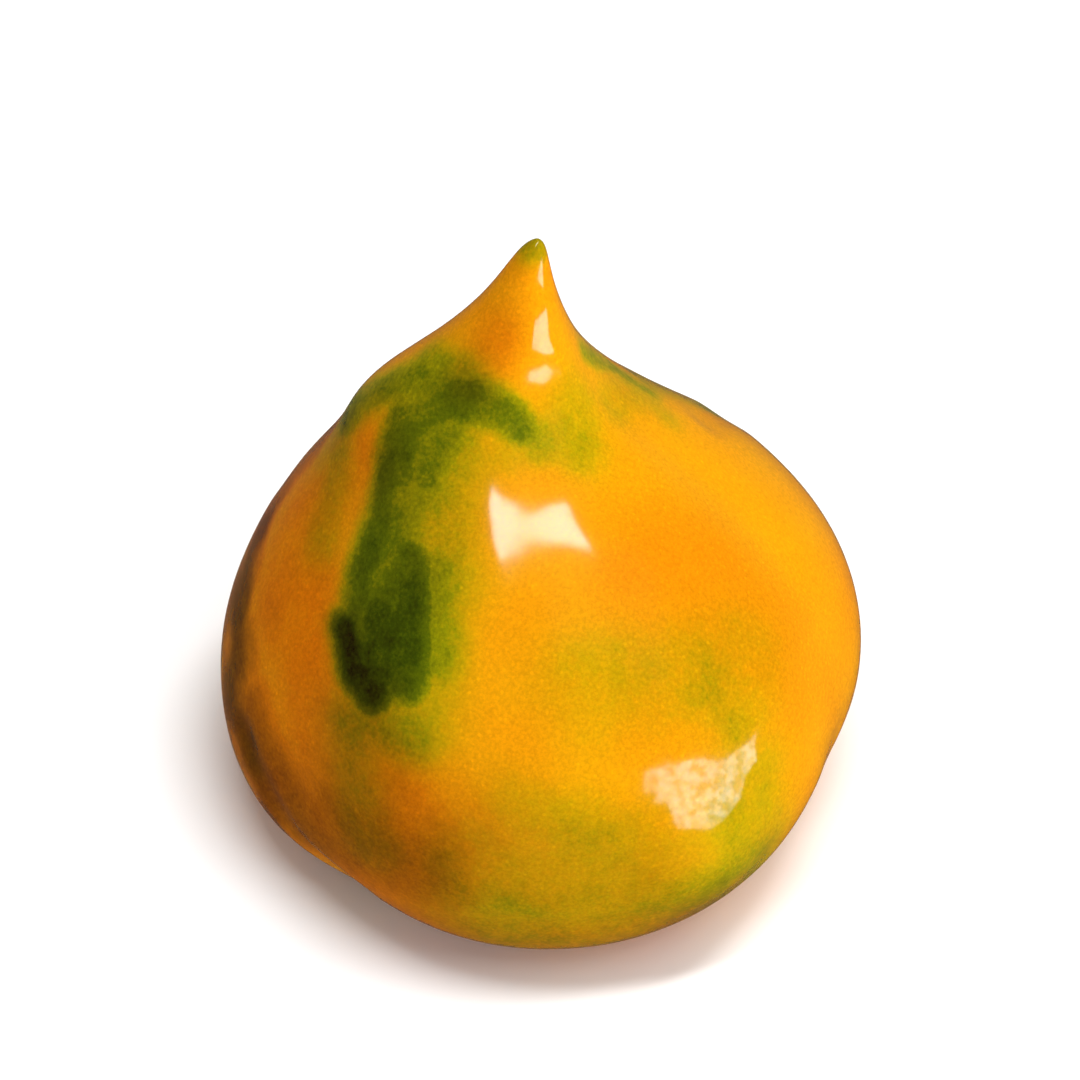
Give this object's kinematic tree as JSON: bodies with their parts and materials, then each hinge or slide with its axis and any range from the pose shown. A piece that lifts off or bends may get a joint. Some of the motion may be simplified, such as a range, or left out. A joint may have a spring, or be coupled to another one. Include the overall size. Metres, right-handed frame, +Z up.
{
  "type": "sweet pepper",
  "caption": "Whole ripe sweet pepper, squat and lobed, standing on its shoulders with a pointed blossom end up and its calyx and cut stem in the pit underneath.",
  "frame": {"origin": "on the surface that the pepper stands on, under the middle of its box", "axes": "+Z up, along the fruit from its stem pit to its pointed end; -Y faces the viewer; +X to the right"},
  "size_m": [0.0776, 0.0796, 0.0764],
  "materials": {
    "ripe_skin": "glossy waxy skin, orange-yellow with green and brown flushes",
    "green_calyx": "satin dark green, paler at the stem's cut face"
  },
  "bodies": {
    "root": {"fruit": "ripe_skin", "calyx_and_stem": "green_calyx"}
  },
  "joints": []
}
